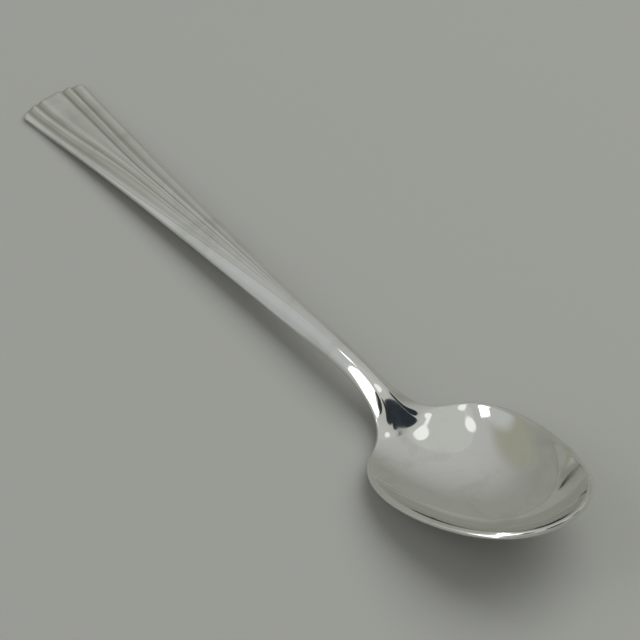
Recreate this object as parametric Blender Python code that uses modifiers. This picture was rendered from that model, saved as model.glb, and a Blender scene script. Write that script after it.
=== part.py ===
"""Coffee spoon with a fluted fan handle, lying face up.

The spoon is drawn from three lines, as a boat is: the outline seen from above, the height of its
edges and the height of its crown. X runs from the fan's end to the bowl's tip, Z is up, and the
origin is on the table under the middle of the spoon. Lengths are in metres.
"""

import math

import bmesh
import bpy
from mathutils import Vector

MM = 0.001

# Overall
LENGTH = 116.0 * MM
JOINT_GAP = 0.3 * MM            # between the two pieces at the neck
EDGE_ROUND = 0.15 * MM          # rounding of every outer edge

# Bowl
BOWL_LENGTH = 32.7 * MM         # inside the rim, heel to tip
BOWL_WIDTH = 22.2 * MM          # inside the rim, across the middle
BOWL_DEPTH = 5.5 * MM
BOWL_WALL = 0.9 * MM
EGG = 0.17                      # how much the heel half is wider than the tip half
FULLNESS = 0.17                 # how much both ends are blunter than an ellipse's
FLAT_BOTTOM = 0.3               # how much flatter the bottom is than a paraboloid's
DEEP_TIP = 0.3                  # how far the deepest part leans to the tip
RIM_TILT = math.radians(19.8)   # the tip is raised, the heel is low
RIM_SWEEP = 0.9 * MM            # both ends of the rim curl up by this much
BOWL_WEAR = 0.1 * MM            # worn off under the bowl, where it stands

# Neck
WAIST_SETBACK = 11.0 * MM       # narrowest place, before the heel of the rim
WAIST_WIDTH = 3.6 * MM
NECK_THICKNESS = 2.4 * MM
NECK_FACET = 1.0                # how steeply both sides fall from the crest
NECK_KEEL = 0.3 * MM            # how far the underside is rounded up to the sides
KEEL_REACH = 15.0 * MM          # over which that rounding begins, past the fan's rest
NECK_RISE = 4.0 * MM            # height of the underside at the waist
NECK_SETBACK = 5.4 * MM         # where the neck bends down, before the heel of the rim
NECK_BLEND = 10.0 * MM          # over which the stem turns into the bowl
NECK_DIP = 0.60                 # how steeply the neck bends down
NECK_BEND = 4.0 * MM            # how softly it does so
NECK_REACH = 8.5 * MM           # how far the sides run straight on from the waist
SHOULDER = math.radians(26)     # where the shoulders run into the rim, counted round from the heel
SHOULDER_REACH = 3.5 * MM       # how far the rim's line is drawn back into the shoulders

# Handle
FAN_WIDTH = 11.0 * MM
FAN_THICKNESS = 1.25 * MM
FAN_CAMBER = 0.3 * MM           # how much higher the middle is than the sides
STEM_CAMBER = 0.6 * MM          # the same half way along the stem, which is domed
FAN_FACET = 0.3                 # how steeply the plain sides fall outside the ridges
FACET_ROUND = 0.3 * MM          # rounding between them
FAN_BULGE = 1.5 * MM            # how far the end bows out
FAN_BULGE_REACH = 12.0 * MM     # over which that bow fades
FAN_SQUARE = 4                  # 2 bows the end evenly, above it mostly at its round corners
FAN_REST = 3.0 * MM             # flat under the end, where it stands
FLARE_LENGTH = 16.0 * MM        # how fast the fan narrows to the stem
STEM_WIDTH = 8.5 * MM           # width of the tapering stem, drawn on to the fan's end

# Flutes between six ridges, which spread from the crest to the fan's end
RIDGES = (0.33, 0.66, 1.0)      # on either side, as shares of the outermost ridge's distance
STEM_RIDGES = (0.10, 0.42, 1.0)  # the same on the stem, where the inner ones have drawn together
GATHER_LENGTH = 24.0 * MM       # over which they do so
RIDGE_WIDTH = 9.8 * MM          # between the outermost ridges at the fan's end
CREST_LENGTH = 7.5 * MM         # from where the ridges meet to the waist
CREST_WIDTH = 1.0 * MM          # of the flat crest that is left there
FLUTE_DEPTH = 0.35 * MM
CENTRE_FLUTE = 0.2              # depth of the middle one, as a share of the others'
FLUTE_SKEW = 0.7                # below 1, flutes are deepest near their inner ridge
FLUTE_LENGTH = 60.0 * MM
FLUTE_SHAPE = 1.5               # 1 gives sharp ridges, 2 as round as the flutes

# Facets
HANDLE_ROWS = 40
FLUTE_COLUMNS = 4
FACET_COLUMNS = 2
PANEL_LEAST = 0.25              # share of the stem's width that the flutes' columns take
PANEL_MOST = 0.92
BOWL_COLUMNS = 20
SHOULDER_ROWS = 12
HEEL_ROWS = 12
TIP_ROWS = 10
ROUND_STEPS = 2
END_CROWDING = 1.2              # above 1, the handle's rows lie closer at the fan's end
SHADING_CORNER = math.radians(45)
STEP = 0.001                    # for slopes, as a share of the bowl's half length

half_length = BOWL_LENGTH / 2
rim_slope = math.tan(RIM_TILT)
tip_slope = rim_slope + 2 * (RIM_SWEEP + (1 + FLAT_BOTTOM) * (1 + DEEP_TIP) * BOWL_DEPTH) / half_length
tip_overhang = BOWL_WALL * math.sin(math.atan(tip_slope))

x_fan = -LENGTH / 2 + FAN_BULGE
x_tip = LENGTH / 2 - tip_overhang
x_bowl = x_tip - half_length
x_heel = x_tip - BOWL_LENGTH
x_waist = x_heel - WAIST_SETBACK
x_bend = x_heel - NECK_SETBACK
handle_length = x_waist - x_fan


def mix(a, b, share):
    return a + (b - a) * share


def smooth(share):
    share = min(max(share, 0.0), 1.0)
    return share * share * (3 - 2 * share)


def spread(count):
    return [i / count for i in range(count + 1)]


# The stem and its fan

def stem_half_width(x):
    along = x - x_fan
    flare = (FAN_WIDTH - STEM_WIDTH) * math.exp(-along / FLARE_LENGTH)
    return (mix(STEM_WIDTH, WAIST_WIDTH, along / handle_length) + flare) / 2


def stem_back(x):
    rise = NECK_RISE * (x - x_fan - FAN_REST) / (handle_length - FAN_REST)
    bend = NECK_DIP * NECK_BEND * math.log(1 + math.exp((x - x_bend) / NECK_BEND))
    return max(rise - bend, 0.0)


def stem_under(x, across):
    keel = smooth((x - x_fan - FAN_REST) / KEEL_REACH)
    return stem_back(x) + NECK_KEEL * keel * across ** 2


def ridge_half_width(x):
    spread = (x_waist - CREST_LENGTH - x) / (handle_length - CREST_LENGTH)
    return math.hypot(RIDGE_WIDTH / 2 * max(spread, 0.0), CREST_WIDTH / 2)


def ridge_shares(x):
    gathered = smooth((x - x_fan) / GATHER_LENGTH)
    return [mix(fan, stem, gathered) for fan, stem in zip(RIDGES, STEM_RIDGES)]


def flute(x, y):
    """Share of the full flute depth, 0 on a ridge and 1 where a flute is deepest."""
    outer = ridge_half_width(x)
    if abs(y) >= outer:
        return 0.0
    place = abs(y) / outer
    low, *others = ridge_shares(x)
    if place <= low:
        return CENTRE_FLUTE * max(math.cos(math.pi / 2 * place / low), 0.0) ** FLUTE_SHAPE
    for high in others:
        if place <= high:
            break
        low = high
    deep = ((place - low) / (high - low)) ** FLUTE_SKEW
    return max(math.sin(math.pi * deep), 0.0) ** FLUTE_SHAPE


def stem_top(x, across):
    along = min((x - x_fan) / handle_length, 1.0)
    swell = math.sin(math.pi / 2 * along)
    y = across * stem_half_width(min(x, x_waist))
    outside = max(abs(y) - ridge_half_width(x), 0.0)
    fall = mix(FAN_FACET, NECK_FACET, swell) * (math.hypot(outside, FACET_ROUND) - FACET_ROUND)
    camber = mix(FAN_CAMBER, STEM_CAMBER, math.sin(math.pi * along))
    fade = 1 - smooth((x - x_fan) / FLUTE_LENGTH)
    height = mix(FAN_THICKNESS, NECK_THICKNESS, swell) - camber * across ** 2
    return stem_back(x) + height - fall - FLUTE_DEPTH * fade * flute(x, y)


# The bowl, on a unit disc that the egg-shaped rim is stretched from

def egg(u):
    return BOWL_WIDTH / 2 * (1 - EGG * u + FULLNESS * u * u)


def hollow(u, v):
    """Height inside the bowl, above the middle of the rim line."""
    spot = u * u + v * v
    rim = rim_slope * half_length * u + RIM_SWEEP * u * u
    depth = BOWL_DEPTH * (1 - spot) * (1 + FLAT_BOTTOM * spot) * (1 + DEEP_TIP * u)
    return rim - depth


bowl_lift = BOWL_WALL - BOWL_WEAR - min(hollow(u - 1, 0) for u in spread(100))


def bowl_point(u, v):
    return Vector((x_bowl + half_length * u, egg(u) * v, hollow(u, v) + bowl_lift))


def bowl_outside(u, v):
    along = bowl_point(u + STEP, v) - bowl_point(u - STEP, v)
    over = bowl_point(u, v + STEP) - bowl_point(u, v - STEP)
    return bowl_point(u, v) - BOWL_WALL * along.cross(over).normalized()


def spoon_point(x, y, across, inside):
    """A point of the neck or the bowl, where the stem turns into the bowl."""
    u = (x - x_bowl) / half_length
    v = y / egg(u)
    share = smooth((x - x_bend) / NECK_BLEND)
    if inside:
        return Vector((x, y, stem_top(x, across))).lerp(bowl_point(u, v), share)
    point = Vector((x, y, stem_under(x, across))).lerp(bowl_outside(u, v), share)
    point.z = max(point.z, 0.0)
    return point


# The outline from above

def gather(x, column):
    """Where a column of the fan's end, 0 to 1, lies between the ridges further up."""
    low = drawn_low = 0.0
    for high, drawn_high in zip(RIDGES, ridge_shares(x)):
        if column <= high:
            break
        low, drawn_low = high, drawn_high
    return mix(drawn_low, drawn_high, (column - low) / (high - low))


def spread_across(x, column):
    """Columns -1 to 1 lie between the outermost ridges, those beyond on the plain sides."""
    panel = min(max(ridge_half_width(x) / stem_half_width(x), PANEL_LEAST), PANEL_MOST)
    if abs(column) <= 1:
        return math.copysign(gather(x, abs(column)) * panel, column)
    return math.copysign(mix(panel, 1.0, abs(column) - 1), column)


def handle_point(row, column, inside):
    x = mix(x_fan, x_waist - JOINT_GAP / 2, row)
    across = spread_across(x, column)
    y = across * stem_half_width(x)
    bow = max(1 - (x - x_fan) / FAN_BULGE_REACH, 0.0) ** 2
    x -= FAN_BULGE * bow * math.sqrt(max(1 - across ** FAN_SQUARE, 0.0))
    return Vector((x, y, stem_top(x, across) if inside else stem_under(x, across)))


def rim_half_width(u):
    return egg(u) * math.sqrt(1 - u * u)


def bezier(a, b, c, d, share):
    rest = 1 - share
    return a * rest ** 3 + b * 3 * rest * rest * share + c * 3 * rest * share * share + d * share ** 3


def shoulder_outline():
    """Half of the outline from the joint to the middle of the bowl, as (x, half width)."""
    start = Vector((x_waist + JOINT_GAP / 2, stem_half_width(x_waist)))
    turn_in = -math.cos(SHOULDER)
    end = Vector((x_bowl + half_length * turn_in, rim_half_width(turn_in)))
    rim_way = Vector((half_length * STEP, rim_half_width(turn_in + STEP) - end.y)).normalized()
    first = start + Vector((NECK_REACH, 0))
    last = end - rim_way * SHOULDER_REACH
    bend = [bezier(start, first, last, end, share) for share in spread(SHOULDER_ROWS)[:-1]]
    rim = [turn_in * math.cos(share * math.pi / 2) for share in spread(HEEL_ROWS)]
    return bend + [Vector((x_bowl + half_length * u, rim_half_width(u))) for u in rim]


def bowl_grid_point(row, across, inside):
    """Straight rows up to the middle of the bowl, then rows that round off to the tip."""
    if row < len(outline):
        x, half_width = outline[row]
        return spoon_point(x, across * half_width, across, inside)
    toward_tip = (row - len(outline) + 1) / TIP_ROWS
    u = toward_tip * math.sqrt(1 - across * across / 2)
    v = across * math.sqrt(1 - toward_tip * toward_tip / 2)
    return spoon_point(x_bowl + half_length * u, egg(u) * v, across, inside)


outline = shoulder_outline()


# Building the pieces

def silver(name):
    material = bpy.data.materials.new(name)
    material.use_nodes = True
    shader = material.node_tree.nodes["Principled BSDF"]
    shader.inputs["Base Color"].default_value = (0.83, 0.82, 0.79, 1.0)
    shader.inputs["Metallic"].default_value = 1.0
    shader.inputs["Roughness"].default_value = 0.12
    return material


def plate(name, rows, columns, point, joint_row):
    """A grid for the upper face, extruded to the lower one, with its outer edges rounded."""
    bm = bmesh.new()
    bmesh.ops.create_grid(bm, x_segments=len(rows) - 1, y_segments=len(columns) - 1, size=1)
    row_of = {v: round((v.co.x + 1) / 2 * (len(rows) - 1)) for v in bm.verts}
    column_of = {v: round((v.co.y + 1) / 2 * (len(columns) - 1)) for v in bm.verts}
    upper = list(bm.verts)
    for vert in upper:
        vert.co = point(rows[row_of[vert]], columns[column_of[vert]], True)
    spot = {tuple(vert.co): vert for vert in upper}
    extruded = bmesh.ops.extrude_face_region(bm, geom=bm.faces[:])["geom"]
    lower = [item for item in extruded if isinstance(item, bmesh.types.BMVert)]
    for vert in lower:
        above = spot[tuple(vert.co)]
        row_of[vert] = row_of[above]
        vert.co = point(rows[row_of[above]], columns[column_of[above]], False)
    bmesh.ops.recalc_face_normals(bm, faces=bm.faces[:])

    weight = bm.edges.layers.float.new("bevel_weight_edge")
    lower = set(lower)
    side_faces = {face for face in bm.faces if 0 < sum(vert in lower for vert in face.verts) < 4}
    for edge in bm.edges:
        on_joint = all(row_of[vert] == joint_row for vert in edge.verts)
        on_side = sum(face in side_faces for face in edge.link_faces) == 1
        corner = edge.calc_face_angle(0.0) > SHADING_CORNER
        if not on_joint and (on_side or corner and len({vert in lower for vert in edge.verts}) == 2):
            edge[weight] = 1.0

    mesh = bpy.data.meshes.new(name)
    bm.to_mesh(mesh)
    bm.free()
    mesh.shade_smooth()
    mesh.set_sharp_from_angle(angle=SHADING_CORNER)
    piece = bpy.data.objects.new(name, mesh)
    mesh.materials.append(silver(name + "_silver"))
    rounding = piece.modifiers.new("rounding", "BEVEL")
    rounding.limit_method = "WEIGHT"
    rounding.width = EDGE_ROUND
    rounding.segments = ROUND_STEPS
    return piece


def main():
    for thing in list(bpy.data.objects):
        bpy.data.objects.remove(thing, do_unlink=True)
    spoon = bpy.data.collections.new("coffee_spoon")
    bpy.context.scene.collection.children.link(spoon)

    ridges = [-share for share in reversed(RIDGES)] + list(RIDGES)
    columns = [share - 2 for share in spread(FACET_COLUMNS)[:-1]]
    for low, high in zip(ridges, ridges[1:]):
        columns += [mix(low, high, share) for share in spread(FLUTE_COLUMNS)[:-1]]
    columns += [share + 1 for share in spread(FACET_COLUMNS)]
    along = [share ** END_CROWDING for share in spread(HANDLE_ROWS)]
    spoon.objects.link(plate("handle", along, columns, handle_point, HANDLE_ROWS))

    rows = range(len(outline) + TIP_ROWS)
    across = [2 * share - 1 for share in spread(BOWL_COLUMNS)]
    spoon.objects.link(plate("bowl", rows, across, bowl_grid_point, 0))


main()
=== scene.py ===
# Coffee spoon with a fluted fan handle, lying face up on a pale grey floor.
# The spoon is struck from one flat blank, as a real one is, and then cut in two at the neck.

import math

import bpy
from mathutils import Matrix, Vector


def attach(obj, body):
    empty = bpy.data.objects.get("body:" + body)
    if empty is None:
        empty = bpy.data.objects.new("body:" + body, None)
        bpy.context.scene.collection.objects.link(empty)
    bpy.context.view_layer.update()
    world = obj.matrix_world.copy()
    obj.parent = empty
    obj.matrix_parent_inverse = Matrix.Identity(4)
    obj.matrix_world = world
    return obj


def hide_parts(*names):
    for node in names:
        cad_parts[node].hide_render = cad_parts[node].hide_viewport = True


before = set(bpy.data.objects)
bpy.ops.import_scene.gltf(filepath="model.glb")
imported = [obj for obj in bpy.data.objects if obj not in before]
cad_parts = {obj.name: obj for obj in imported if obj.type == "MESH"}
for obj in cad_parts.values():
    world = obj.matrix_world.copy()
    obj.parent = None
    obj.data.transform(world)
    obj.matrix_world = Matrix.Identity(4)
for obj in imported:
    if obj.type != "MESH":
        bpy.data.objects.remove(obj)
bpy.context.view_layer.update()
mm = 0.001
slopeStep = 0.001                 # for slopes, as a share of the bowl's half length
print("frame loaded:", ", ".join(sorted(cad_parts)))


def mix(a, b, share):
    return a + (b - a) * share


def ease(share):
    share = min(max(share, 0.0), 1.0)
    return share * share * (3 - 2 * share)


def steps(count):
    return [i / count for i in range(count + 1)]


# Bowl, drawn on a unit disc (u along, v across) that is stretched to the egg-shaped rim

bowl = {
    "spoonLength": 116.0 * mm,
    "length": 32.7 * mm,          # inside the rim, heel to tip
    "width": 22.2 * mm,           # inside the rim, across the middle
    "depth": 5.5 * mm,
    "wall": 0.9 * mm,
    "egg": 0.17,                  # how much the heel half is wider than the tip half
    "fullness": 0.17,             # how much both ends are blunter than an ellipse's
    "flatBottom": 0.3,
    "deepTip": 0.3,               # how far the deepest part leans to the tip
    "rimTilt": math.radians(19.8),
    "rimSweep": 0.9 * mm,         # both ends of the rim curl up by this much
    "wear": 0.1 * mm,             # worn off underneath, where it stands
    "bottomSteps": 100,           # in which its lowest place is looked for
    "heelRows": 14,
    "tipRows": 20,
    "tipCrowding": 0.5,           # rows lie closer at the tip's edge
}

halfLength = bowl["length"] / 2
rimSlope = math.tan(bowl["rimTilt"])
tipDepth = (1 + bowl["flatBottom"]) * (1 + bowl["deepTip"]) * bowl["depth"]
tipSlope = rimSlope + 2 * (bowl["rimSweep"] + tipDepth) / halfLength
xTip = bowl["spoonLength"] / 2 - bowl["wall"] * math.sin(math.atan(tipSlope))
xBowl = xTip - halfLength
xHeel = xTip - bowl["length"]


def eggWidth(u):
    return bowl["width"] / 2 * (1 - bowl["egg"] * u + bowl["fullness"] * u * u)


def hollow(u, v):
    spot = u * u + v * v
    rim = rimSlope * halfLength * u + bowl["rimSweep"] * u * u
    return rim - bowl["depth"] * (1 - spot) * (1 + bowl["flatBottom"] * spot) * (1 + bowl["deepTip"] * u)


bowlBottom = min(hollow(share - 1, 0) for share in steps(bowl["bottomSteps"]))
bowlLift = bowl["wall"] - bowl["wear"] - bowlBottom


def bowlInside(u, v):
    return Vector((xBowl + halfLength * u, eggWidth(u) * v, hollow(u, v) + bowlLift))


def bowlOutside(u, v):
    along = bowlInside(u + slopeStep, v) - bowlInside(u - slopeStep, v)
    over = bowlInside(u, v + slopeStep) - bowlInside(u, v - slopeStep)
    return bowlInside(u, v) - bowl["wall"] * along.cross(over).normalized()


# Neck, from the waist, where the stem is narrowest, to the shoulders that run into the rim

neck = {
    "waistSetback": 11.0 * mm,    # narrowest place, before the heel of the rim
    "width": 3.6 * mm,            # there
    "thickness": 2.4 * mm,
    "facetSlope": 1.0,            # how steeply both sides fall from the crest
    "keel": 0.3 * mm,             # how far the underside is rounded up to the sides
    "keelReach": 15.0 * mm,       # over which that rounding begins, past the fan's rest
    "rise": 4.0 * mm,             # height of the underside
    "setback": 5.4 * mm,          # where it bends down, before the heel of the rim
    "dip": 0.60,                  # how steeply
    "bend": 4.0 * mm,             # how softly
    "blend": 10.0 * mm,           # over which the stem turns into the bowl
    "reach": 8.5 * mm,            # how far the sides run straight on from the waist
    "shoulder": math.radians(26),
    "shoulderReach": 3.5 * mm,    # how far the rim's line is drawn back into the shoulders
    "shoulderRows": 30,
}

# Handle, a slim stem with a crest that opens into a flared fan with five flutes between six ridges

handle = {
    "fanWidth": 11.0 * mm,
    "fanThickness": 1.25 * mm,
    "camber": 0.3 * mm,           # how much higher the middle is than the sides
    "stemCamber": 0.6 * mm,       # the same half way along the stem, which is domed
    "facetSlope": 0.3,            # how steeply the plain sides fall outside the ridges
    "facetRound": 0.3 * mm,       # rounding between them
    "fanBulge": 1.5 * mm,         # how far the end bows out
    "bulgeReach": 12.0 * mm,      # over which that bow fades
    "square": 4,                  # 2 bows the end like an ellipse, more gives it round corners
    "fanRest": 3.0 * mm,          # flat under the end, where it stands
    "flareLength": 16.0 * mm,     # how fast the fan narrows to the stem
    "stemWidth": 8.5 * mm,        # width of the tapering stem, drawn on to the fan's end
    "ridges": (0.33, 0.66, 1.0),  # on either side, as shares of the outermost ridge's distance
    "stemRidges": (0.10, 0.42, 1.0),  # the same on the stem, where the inner ones draw together
    "gatherLength": 24.0 * mm,    # over which they do so
    "ridgeWidth": 9.8 * mm,       # between the outermost ridges at the fan's end
    "crestLength": 7.5 * mm,      # from where the ridges meet to the waist
    "crestWidth": 1.0 * mm,       # of the flat crest that is left there
    "fluteDepth": 0.35 * mm,
    "centreFlute": 0.2,           # depth of the middle one, as a share of the others'
    "fluteSkew": 0.7,             # below 1, flutes are deepest near their inner ridge
    "fluteLength": 60.0 * mm,
    "fluteShape": 1.5,            # 1 gives sharp ridges, 2 as round as the flutes
    "edgeRoll": 0.15 * mm,        # rounding under both sides
    "endRoll": 0.4 * mm,          # rounding over the fan's end
    "endRows": 4,
    "rows": 60,
    "endCrowding": 1.25,          # above 1, rows lie closer at the fan's end
    "fluteColumns": 8,
    "facetColumns": 4,
    "panel": 0.84,                # share of the columns' width that the flutes take
    "panelRange": (0.25, 0.92),   # and of the stem's width, at least and at most
}

xFan = -bowl["spoonLength"] / 2 + handle["fanBulge"]
xWaist = xHeel - neck["waistSetback"]
xBend = xHeel - neck["setback"]
handleLength = xWaist - xFan


def stemHalfWidth(x):
    along = x - xFan
    flare = (handle["fanWidth"] - handle["stemWidth"]) * math.exp(-along / handle["flareLength"])
    return (mix(handle["stemWidth"], neck["width"], along / handleLength) + flare) / 2


def stemBack(x):
    rise = neck["rise"] * (x - xFan - handle["fanRest"]) / (handleLength - handle["fanRest"])
    bend = neck["dip"] * neck["bend"] * math.log(1 + math.exp((x - xBend) / neck["bend"]))
    return max(rise - bend, 0.0)


def ridgeHalfWidth(x):
    spread = (xWaist - handle["crestLength"] - x) / (handleLength - handle["crestLength"])
    return math.hypot(handle["ridgeWidth"] / 2 * max(spread, 0.0), handle["crestWidth"] / 2)


def ridgeShares(x):
    gathered = ease((x - xFan) / handle["gatherLength"]) * (1 - ease((x - xWaist) / (xHeel - xWaist)))
    return [mix(fan, stem, gathered) for fan, stem in zip(handle["ridges"], handle["stemRidges"])]


# Share of the full flute depth, 0 on a ridge and 1 where a flute is deepest
def flute(x, y):
    outer = ridgeHalfWidth(x)
    if abs(y) >= outer:
        return 0.0
    place = abs(y) / outer
    low, *others = ridgeShares(x)
    if place <= low:
        arch = math.cos(math.pi / 2 * place / low)
        return handle["centreFlute"] * max(arch, 0.0) ** handle["fluteShape"]
    for high in others:
        if place <= high:
            break
        low = high
    arch = math.sin(math.pi * ((place - low) / (high - low)) ** handle["fluteSkew"])
    return max(arch, 0.0) ** handle["fluteShape"]


def fluteFade(x):
    return 1 - ease((x - xFan) / handle["fluteLength"])


def stemTop(x, across):
    along = min((x - xFan) / handleLength, 1.0)
    swell = math.sin(math.pi / 2 * along)
    y = across * stemHalfWidth(min(x, xWaist))
    outside = max(abs(y) - ridgeHalfWidth(x), 0.0)
    slope = mix(handle["facetSlope"], neck["facetSlope"], swell)
    fall = slope * (math.hypot(outside, handle["facetRound"]) - handle["facetRound"])
    camber = mix(handle["camber"], handle["stemCamber"], math.sin(math.pi * along))
    cut = handle["fluteDepth"] * fluteFade(x) * flute(x, y)
    thickness = mix(handle["fanThickness"], neck["thickness"], swell)
    return stemBack(x) + thickness - camber * across ** 2 - fall - cut


def stemUnder(x, across):
    halfWidth = stemHalfWidth(min(x, xWaist))
    roll = handle["edgeRoll"]
    over = max(abs(across) * halfWidth - halfWidth + roll, 0.0) / roll
    keel = neck["keel"] * ease((x - xFan - handle["fanRest"]) / neck["keelReach"]) * across ** 2
    return stemBack(x) + keel + roll * (1 - math.sqrt(max(1 - over * over, 0.0)))


# The outline from above: the stem, then the shoulders and rim up to the bowl's middle, then the tip

def rimHalfWidth(u):
    return eggWidth(u) * math.sqrt(1 - u * u)


def bezier(a, b, c, d, share):
    rest = 1 - share
    return a * rest ** 3 + b * 3 * rest * rest * share + c * 3 * rest * share * share + d * share ** 3


def shoulderOutline():
    start = Vector((xWaist, stemHalfWidth(xWaist)))
    turnIn = -math.cos(neck["shoulder"])
    end = Vector((xBowl + halfLength * turnIn, rimHalfWidth(turnIn)))
    rimWay = Vector((halfLength * slopeStep, rimHalfWidth(turnIn + slopeStep) - end.y)).normalized()
    first = start + Vector((neck["reach"], 0))
    last = end - rimWay * neck["shoulderReach"]
    bend = [bezier(start, first, last, end, share) for share in steps(neck["shoulderRows"])[:-1]]
    rim = [turnIn * math.cos(share * math.pi / 2) for share in steps(bowl["heelRows"])]
    return bend + [Vector((xBowl + halfLength * u, rimHalfWidth(u))) for u in rim]


# Rows lie close together over the rounded end and at the tip's edge

xRolled = xFan + handle["endRoll"]
stemLine = [mix(xFan, xRolled, share * share) for share in steps(handle["endRows"])[:-1]]
stemLine += [mix(xRolled, xWaist, share ** handle["endCrowding"]) for share in steps(handle["rows"])[:-1]]
sideLine = shoulderOutline()
tipLine = [mix(share, math.sin(share * math.pi / 2), bowl["tipCrowding"])
           for share in steps(bowl["tipRows"])[1:]]
rowCount = len(stemLine) + len(sideLine) + len(tipLine)

oneSide = [share * handle["panel"] for share in handle["ridges"]]
ridgeLines = [-share for share in reversed(oneSide)] + oneSide
columns = [mix(-1, -handle["panel"], share) for share in steps(handle["facetColumns"])[:-1]]
for low, high in zip(ridgeLines, ridgeLines[1:]):
    columns += [mix(low, high, share) for share in steps(handle["fluteColumns"])[:-1]]
columns += [mix(handle["panel"], 1, share) for share in steps(handle["facetColumns"])]


# Where a column of the fan's end, 0 to 1, lies between the ridges further up
def gather(x, column):
    low = drawnLow = 0.0
    for high, drawnHigh in zip(handle["ridges"], ridgeShares(x)):
        if column <= high:
            break
        low, drawnLow = high, drawnHigh
    return mix(drawnLow, drawnHigh, (column - low) / (high - low))


def spreadAcross(x, column):
    least, most = handle["panelRange"]
    share = min(max(ridgeHalfWidth(x) / stemHalfWidth(x), least), most)
    share = mix(share, handle["panel"], ease((x - xWaist) / (xHeel - xWaist)))
    if abs(column) <= handle["panel"]:
        return math.copysign(gather(x, abs(column) / handle["panel"]) * share, column)
    beyond = (abs(column) - handle["panel"]) / (1 - handle["panel"])
    return math.copysign(mix(share, 1.0, beyond), column)


def struck(row, column, inside):
    rolled = 0.0
    if row < len(stemLine):
        x = stemLine[row]
        close = max(1 - (x - xFan) / handle["endRoll"], 0.0)
        rolled = handle["endRoll"] * (1 - math.sqrt(1 - close * close))
        across = spreadAcross(x, column)
        y = across * stemHalfWidth(x)
        bow = max(1 - (x - xFan) / handle["bulgeReach"], 0.0) ** 2
        x -= handle["fanBulge"] * bow * math.sqrt(max(1 - across ** handle["square"], 0.0))
    elif row < len(stemLine) + len(sideLine):
        x, halfWidth = sideLine[row - len(stemLine)]
        across = spreadAcross(x, column)
        y = across * halfWidth
    else:
        across = column
        out = tipLine[row - len(stemLine) - len(sideLine)]
        u = out * math.sqrt(1 - across * across / 2)
        x = xBowl + halfLength * u
        y = eggWidth(u) * across * math.sqrt(1 - out * out / 2)
    share = ease((x - xBend) / neck["blend"])
    stem = Vector((x, y, stemTop(x, across) - rolled if inside else stemUnder(x, across)))
    if share == 0:
        return stem
    u = (x - xBowl) / halfLength
    v = y / eggWidth(u)
    point = stem.lerp(bowlInside(u, v) if inside else bowlOutside(u, v), share)
    point.z = max(point.z, 0.0)
    return point


# The blank: a grid from -1 to 1, thickened by one extrude and then struck to shape

finish = {
    "blankThickness": 1.0,
    "smoothing": 1,
    "cornerAngle": math.radians(50),
    "cutRing": 1.5 * mm,          # how far from the cut the shading is carried over
}

bpy.ops.object.select_all(action="DESELECT")
bpy.ops.mesh.primitive_grid_add(x_subdivisions=rowCount - 1, y_subdivisions=len(columns) - 1, size=2)
blank = bpy.context.object
blank.name = "blank"
bpy.ops.object.mode_set(mode="EDIT")
bpy.ops.mesh.select_all(action="SELECT")
bpy.ops.mesh.extrude_region_move(TRANSFORM_OT_translate={"value": (0, 0, -finish["blankThickness"])})
bpy.ops.object.mode_set(mode="OBJECT")

recess = blank.data.attributes.new("recess", "FLOAT", "POINT")
for vertex in blank.data.vertices:
    row = round((vertex.co.x + 1) / 2 * (rowCount - 1))
    column = columns[round((vertex.co.y + 1) / 2 * (len(columns) - 1))]
    inside = vertex.co.z > -finish["blankThickness"] / 2
    vertex.co = struck(row, column, inside)
    if inside and row < len(stemLine):
        x = stemLine[row]
        recess.data[vertex.index].value = flute(x, vertex.co.y) * fluteFade(x) ** 2

bpy.ops.object.mode_set(mode="EDIT")
bpy.ops.mesh.select_all(action="SELECT")
bpy.ops.mesh.normals_make_consistent(inside=False)
bpy.ops.object.mode_set(mode="OBJECT")
bpy.ops.object.modifier_add(type="SUBSURF")
blank.modifiers[-1].levels = finish["smoothing"]
blank.modifiers[-1].render_levels = finish["smoothing"]
bpy.ops.object.modifier_apply(modifier=blank.modifiers[-1].name)
bpy.ops.object.shade_smooth_by_angle(angle=finish["cornerAngle"])
print("blank struck:", len(blank.data.polygons), "faces")


# Each piece is a copy of the struck blank, cut at the neck and closed there

def cutPiece(name, keepTip):
    bpy.ops.object.select_all(action="DESELECT")
    blank.select_set(True)
    bpy.context.view_layer.objects.active = blank
    bpy.ops.object.duplicate()
    piece = bpy.context.object
    piece.name = name
    piece.data.name = name
    bpy.ops.object.mode_set(mode="EDIT")
    bpy.ops.mesh.select_all(action="SELECT")
    bpy.ops.mesh.bisect(plane_co=(xWaist, 0, 0), plane_no=(1, 0, 0), use_fill=True,
                        clear_inner=keepTip, clear_outer=not keepTip)
    bpy.ops.mesh.select_all(action="SELECT")
    bpy.ops.mesh.normals_make_consistent(inside=False)
    bpy.ops.object.mode_set(mode="OBJECT")
    bpy.ops.object.shade_smooth_by_angle(angle=finish["cornerAngle"])
    # shading beside the cut comes from the whole blank, so no seam shows
    ring = piece.vertex_groups.new(name="cutRing")
    near = [vertex.index for vertex in piece.data.vertices
            if abs(vertex.co.x - xWaist) < finish["cutRing"]]
    ring.add(near, 1.0, "REPLACE")
    carry = piece.modifiers.new("blankNormals", "DATA_TRANSFER")
    carry.object = blank
    carry.use_loop_data = True
    carry.data_types_loops = {"CUSTOM_NORMAL"}
    carry.loop_mapping = "POLYINTERP_NEAREST"
    carry.vertex_group = ring.name
    bpy.ops.object.modifier_apply(modifier=carry.name)
    piece.vertex_groups.clear()
    return piece


bowlPiece = cutPiece("silverBowl", True)
handlePiece = cutPiece("silverHandle", False)
bpy.data.objects.remove(blank)
print("pieces cut:", len(bowlPiece.data.polygons), "and", len(handlePiece.data.polygons), "faces")


# Materials

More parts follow.
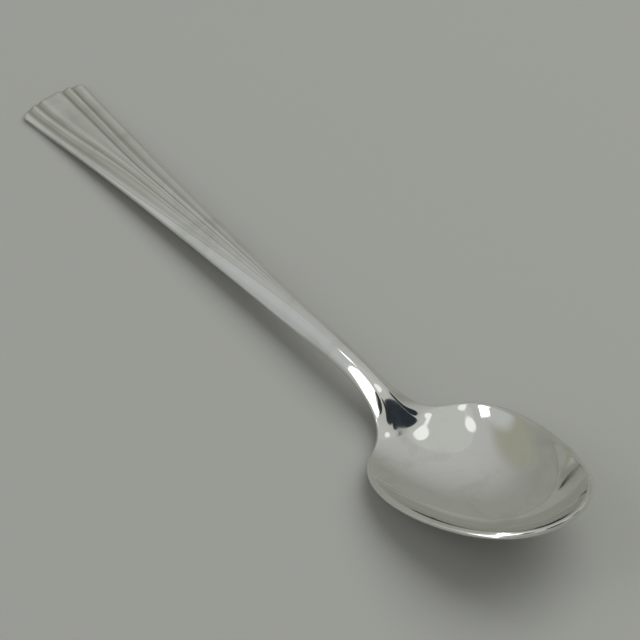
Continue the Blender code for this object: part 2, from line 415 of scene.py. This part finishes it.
def toLinear(hexColour):
    parts = [int(hexColour[i:i + 2], 16) / 255 for i in (1, 3, 5)]
    return [c / 12.92 if c <= 0.04045 else ((c + 0.055) / 1.055) ** 2.4 for c in parts] + [1.0]


def addNode(tree, kind, settings=None, **inputs):
    node = tree.nodes.new(kind)
    for key, value in (settings or {}).items():
        setattr(node, key, value)
    for key, value in inputs.items():
        socket = node.inputs[int(key[1:])] if key[1:].isdigit() else node.inputs[key.replace("_", " ")]
        if isinstance(value, bpy.types.NodeSocket):
            tree.links.new(value, socket)
        else:
            socket.default_value = value
    return node


# Polished silver: a clear mirror in the bowl, where the cloth reaches, with soft smudges and very slightly
# wavy from hand finishing. It turns to satin towards the fan, where fingers wear it, and keeps a warm grey
# bloom of tarnish down in the flutes.
silver = {
    "colour": "#e9eae5",
    "haze": "#dcddd6",            # where it is smudged
    "tarnish": "#b2b2a3",
    "mirror": 0.045,              # roughness of the bowl and neck
    "satin": 0.20,                # and of the fan
    "satinStart": -12.0 * mm,     # along the spoon
    "satinFull": -50.0 * mm,
    "smudgeSize": 7.0 * mm,
    "smudgeDetail": 5.0,
    "smudgeGrain": 0.62,
    "smudgeSwirl": 0.8,
    "smudgeRange": (0.45, 0.72),  # of the noise, from clean to smudged
    "smudgeRough": 0.05,
    "bloomSize": 6.0 * mm,        # of the tarnish's patches
    "bloomDetail": 4.0,
    "bloomRange": (0.3, 0.7),     # of the noise
    "bloomShare": (0.5, 0.8),     # least and most tarnish down in a flute
    "waveSize": 5.0 * mm,
    "waveHeight": 0.012 * mm,
    "waveDetail": 1.0,
    "scratchWidth": 0.15 * mm,    # real hairlines are finer; these are as fine as the picture shows
    "scratchLength": 9.0 * mm,
    "scratchDetail": 2.0,
    "scratchRange": (0.6, 0.75),  # of the noise, from clean to scratched
    "scratchRough": 0.05,
}


def silverFinish(name):
    material = bpy.data.materials.new(name)
    material.use_nodes = True
    tree = material.node_tree
    shader = tree.nodes["Principled BSDF"]
    place = addNode(tree, "ShaderNodeTexCoord").outputs["Object"]
    along = addNode(tree, "ShaderNodeSeparateXYZ", Vector=place).outputs["X"]
    recess = addNode(tree, "ShaderNodeAttribute", {"attribute_name": "recess"}).outputs["Fac"]

    low, high = silver["smudgeRange"]
    smudges = addNode(tree, "ShaderNodeTexNoise", Vector=place, Scale=1 / silver["smudgeSize"],
                      Detail=silver["smudgeDetail"], Roughness=silver["smudgeGrain"],
                      Distortion=silver["smudgeSwirl"])
    smudged = addNode(tree, "ShaderNodeMapRange", {"interpolation_type": "SMOOTHSTEP"},
                      Value=smudges.outputs["Fac"], From_Min=low, From_Max=high).outputs["Result"]
    low, high = silver["bloomRange"]
    least, most = silver["bloomShare"]
    patches = addNode(tree, "ShaderNodeTexNoise", Vector=place, Scale=1 / silver["bloomSize"],
                      Detail=silver["bloomDetail"])
    patched = addNode(tree, "ShaderNodeMapRange", Value=patches.outputs["Fac"],
                      From_Min=low, From_Max=high, To_Min=least, To_Max=most).outputs["Result"]
    bloom = addNode(tree, "ShaderNodeMath", {"operation": "MULTIPLY"}, _0=recess,
                    _1=patched).outputs["Value"]
    hazed = addNode(tree, "ShaderNodeMix", {"data_type": "RGBA"}, _0=smudged,
                    _6=toLinear(silver["colour"]), _7=toLinear(silver["haze"])).outputs[2]
    colour = addNode(tree, "ShaderNodeMix", {"data_type": "RGBA"}, _0=bloom,
                     _6=hazed, _7=toLinear(silver["tarnish"])).outputs[2]

    low, high = silver["scratchRange"]
    wide = 1 / silver["scratchWidth"]
    lengthwise = addNode(tree, "ShaderNodeVectorMath", {"operation": "MULTIPLY"}, _0=place,
                         _1=(1 / silver["scratchLength"], wide, wide)).outputs["Vector"]
    hairlines = addNode(tree, "ShaderNodeTexNoise", Vector=lengthwise, Scale=1.0,
                        Detail=silver["scratchDetail"])
    scratched = addNode(tree, "ShaderNodeMapRange", Value=hairlines.outputs["Fac"], From_Min=low,
                        From_Max=high, To_Max=silver["scratchRough"]).outputs["Result"]
    worn = addNode(tree, "ShaderNodeMapRange", {"interpolation_type": "SMOOTHSTEP"}, Value=along,
                   From_Min=silver["satinStart"], From_Max=silver["satinFull"],
                   To_Min=silver["mirror"], To_Max=silver["satin"]).outputs["Result"]
    dulled = addNode(tree, "ShaderNodeMath", {"operation": "MULTIPLY_ADD"}, _0=smudged,
                     _1=silver["smudgeRough"], _2=worn).outputs["Value"]
    rough = addNode(tree, "ShaderNodeMath", {"operation": "ADD"}, _0=dulled, _1=scratched).outputs["Value"]

    waves = addNode(tree, "ShaderNodeTexNoise", Vector=place, Scale=1 / silver["waveSize"],
                    Detail=silver["waveDetail"])
    bump = addNode(tree, "ShaderNodeBump", Height=waves.outputs["Fac"], Strength=1.0,
                   Distance=silver["waveHeight"])
    shader.inputs["Metallic"].default_value = 1.0
    tree.links.new(colour, shader.inputs["Base Color"])
    tree.links.new(rough, shader.inputs["Roughness"])
    tree.links.new(bump.outputs["Normal"], shader.inputs["Normal"])
    return material


for piece, slotName in ((bowlPiece, "bowl_silver"), (handlePiece, "handle_silver")):
    piece.data.materials.clear()
    piece.data.materials.append(silverFinish("polished_silver_" + slotName.split("_")[0]))
    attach(piece, "root")
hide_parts("bowl")
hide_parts("handle")
print("finishes set")


# Floor, light and camera; what is far away is placed by degrees round from +X and degrees up

def towards(azimuth, elevation):
    azimuth = math.radians(azimuth)
    elevation = math.radians(elevation)
    level = math.cos(elevation)
    return Vector((level * math.cos(azimuth), level * math.sin(azimuth), math.sin(elevation)))


stage = {
    "floorColour": "#a0a19c",
    "floorRough": 0.9,
    "floorSize": 4.0,
    "horizon": "#979893",
    "sky": "#bababa",
    "ceiling": "#c2c3c1",
    "skyRise": (18, 62),          # degrees up, from the horizon's grey to the full sky
    "ceilingEdge": (60.5, 62.0),
}

# What the silver mirrors: round cards, by where their middle hangs and how many degrees from it they begin
# to fade and end
cards = {
    "darkCurtain": {"azimuth": 70, "elevation": 49, "inner": 9.2, "outer": 10, "colour": "#2b3239"},
    "doorway": {"azimuth": 46, "elevation": 60, "inner": 6.8, "outer": 7.4, "colour": "#2b3239"},
    "camera": {"azimuth": 0, "elevation": 64, "inner": 16.6, "outer": 17.6, "colour": "#2e3236"},
    "windowFrame": {"azimuth": 270, "elevation": 59, "inner": 8.5, "outer": 9.5, "colour": "#33383c"},
    "leftTube": {"azimuth": 93, "elevation": 69.5, "inner": 4, "outer": 5.5, "colour": "#ffffff"},
    "rightTube": {"azimuth": 211, "elevation": 64.5, "inner": 3.5, "outer": 5, "colour": "#ffffff"},
    "beigeWall": {"azimuth": 210, "elevation": 30, "inner": 1, "outer": 22, "colour": "#9f9e92"},
    "sideWall": {"azimuth": 241, "elevation": 14, "inner": 8, "outer": 24, "colour": "#b0b2b2"},
    "windowWall": {"azimuth": 240, "elevation": 34, "inner": 16, "outer": 23, "colour": "#bcbebe"},
}

bpy.ops.mesh.primitive_plane_add(size=stage["floorSize"])
floor = bpy.context.object
floor.name = "floor"
floorPaint = bpy.data.materials.new("matt_grey_paint")
floorPaint.use_nodes = True
floorShader = floorPaint.node_tree.nodes["Principled BSDF"]
floorShader.inputs["Base Color"].default_value = toLinear(stage["floorColour"])
floorShader.inputs["Roughness"].default_value = stage["floorRough"]
floor.data.materials.append(floorPaint)

world = bpy.data.worlds.new("studio")
bpy.context.scene.world = world
world.use_nodes = True
tree = world.node_tree
way = addNode(tree, "ShaderNodeTexCoord").outputs["Generated"]
up = addNode(tree, "ShaderNodeSeparateXYZ", Vector=way).outputs["Z"]

# The sky is laid in layers, each over the ones before: its own two rises and then the cards
layers = []
for name, edge in (("sky", "skyRise"), ("ceiling", "ceilingEdge")):
    begin, full = (towards(0, degrees).z for degrees in stage[edge])
    layers.append((up, begin, full, stage[name]))
for card in cards.values():
    facing = addNode(tree, "ShaderNodeVectorMath", {"operation": "DOT_PRODUCT"}, _0=way,
                     _1=towards(card["azimuth"], card["elevation"])).outputs["Value"]
    begin, full = (math.cos(math.radians(card[edge])) for edge in ("outer", "inner"))
    layers.append((facing, begin, full, card["colour"]))

sky = toLinear(stage["horizon"])
for measure, begin, full, colour in layers:
    share = addNode(tree, "ShaderNodeMapRange", {"interpolation_type": "SMOOTHSTEP"}, Value=measure,
                    From_Min=begin, From_Max=full).outputs["Result"]
    sky = addNode(tree, "ShaderNodeMix", {"data_type": "RGBA"}, _0=share, _6=sky,
                  _7=toLinear(colour)).outputs[2]
tree.links.new(sky, tree.nodes["Background"].inputs["Color"])

# The key lamp lights the floor alone, the windows show in the silver
lamps = {
    "key": {"azimuth": 86, "elevation": 62, "far": 1.2, "size": (1.1, 1.1),
            "power": 9.5, "gloss": False},
    "highWindow": {"azimuth": 229, "elevation": 51.5, "far": 1.0, "size": (0.09, 0.16),
                   "power": 0.1, "gloss": True},
    "tallWindow": {"azimuth": 249, "elevation": 40, "far": 1.0, "size": (0.2, 0.8),
                   "power": 1.0, "gloss": True},
}

for name, lamp in lamps.items():
    bpy.ops.object.light_add(type="AREA")
    light = bpy.context.object
    light.name = name
    light.data.shape = "RECTANGLE"
    light.data.size, light.data.size_y = lamp["size"]
    light.data.energy = lamp["power"]
    direction = towards(lamp["azimuth"], lamp["elevation"])
    light.location = direction * lamp["far"]
    light.rotation_euler = direction.to_track_quat("Z", "Y").to_euler()
    light.visible_camera = False
    light.visible_glossy = lamp["gloss"]

view = {
    "aim": (1.80 * mm, 3.98 * mm, 0.0),
    "distance": 416.8 * mm,
    "azimuth": -37.9,
    "elevation": 47.7,
    "roll": -0.53,
    "lens": 168.8,
    "sensor": 36.0,
    "clipStart": 10.0 * mm,
}

bpy.ops.object.camera_add()
camera = bpy.context.object
camera.name = "camera"
camera.data.lens = view["lens"]
camera.data.sensor_width = view["sensor"]
camera.data.clip_start = view["clipStart"]
backward = towards(view["azimuth"], view["elevation"])
camera.location = Vector(view["aim"]) + backward * view["distance"]
upright = backward.to_track_quat("Z", "Y").to_matrix().to_4x4()
camera.rotation_euler = (upright @ Matrix.Rotation(math.radians(view["roll"]), 4, "Z")).to_euler()
bpy.context.scene.camera = camera
bpy.context.scene.view_settings.view_transform = "Standard"
print("stage set")
